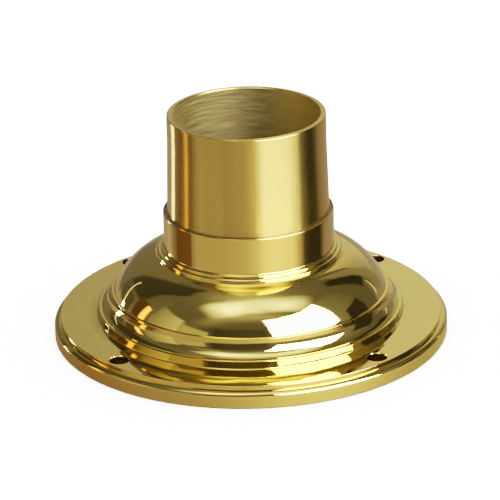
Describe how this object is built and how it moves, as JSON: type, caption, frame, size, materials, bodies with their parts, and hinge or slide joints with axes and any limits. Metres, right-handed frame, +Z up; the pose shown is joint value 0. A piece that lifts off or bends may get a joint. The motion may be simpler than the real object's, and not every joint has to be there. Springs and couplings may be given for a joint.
{
  "type": "pier mount lantern base",
  "caption": "Polished brass pier mount: bolt-down moulded flange and dome with a collar and an open round spigot that a post lantern slides over.",
  "frame": {"origin": "centre of the underside, on the floor", "axes": "+Z up along the spigot; the four mounting holes lie at 45 degrees between X and Y; the ground screw is on the +Y side"},
  "size_m": [0.1905, 0.1904, 0.111],
  "materials": {
    "polished_brass": "mirror polished and lacquered",
    "satin_brass": "satin, brushed round the tube",
    "plain_brass": "as turned",
    "zinc_steel": "zinc plated",
    "black_rubber": "matt",
    "green_screw": "green dyed zinc"
  },
  "bodies": {
    "root": {"base_casting": "polished_brass", "fitter_tube": "satin_brass", "retaining_washer": "zinc_steel", "ring_nut": "plain_brass", "nut_lock_screw": "zinc_steel", "base_gasket": "black_rubber", "ground_cup_washer": "plain_brass", "ground_screw": "green_screw"}
  },
  "joints": []
}
